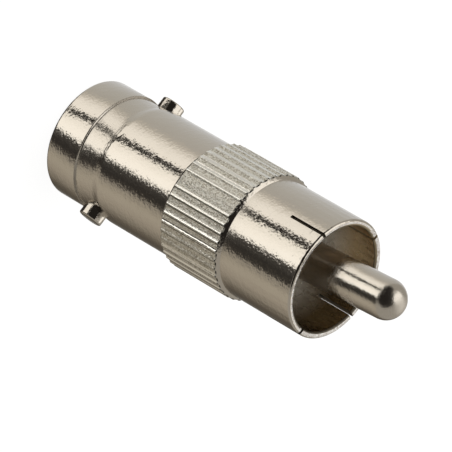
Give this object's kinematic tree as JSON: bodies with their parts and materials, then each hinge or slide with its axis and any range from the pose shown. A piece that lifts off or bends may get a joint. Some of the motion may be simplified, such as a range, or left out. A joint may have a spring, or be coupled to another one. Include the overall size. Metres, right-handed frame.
{
  "type": "bnc to rca adapter",
  "caption": "Coaxial adapter with a bayonet BNC jack at one end, a knurled collar, and an RCA phono plug with a slotted sleeve and round-tipped pin at the other.",
  "frame": {"origin": "middle of the bayonet jack's mouth rim, on which the part stands", "axes": "+Z along the connector axis from the jack's mouth to the phono pin's tip; the two bayonet lugs point along +X and -X"},
  "size_m": [0.011, 0.0104, 0.0325],
  "materials": {
    "nickel_plate": "bright nickel plating over turned brass, fine turning marks",
    "white_dielectric": "moulded white acetal",
    "contact_brass": "turned brass, gold flashed"
  },
  "bodies": {
    "root": {"bnc_shell": "nickel_plate", "bayonet_lug_a": "nickel_plate", "bayonet_lug_b": "nickel_plate", "rca_shell": "nickel_plate", "bnc_insulator": "white_dielectric", "bnc_socket": "contact_brass", "rca_insulator": "white_dielectric", "rca_pin": "nickel_plate"}
  },
  "joints": []
}
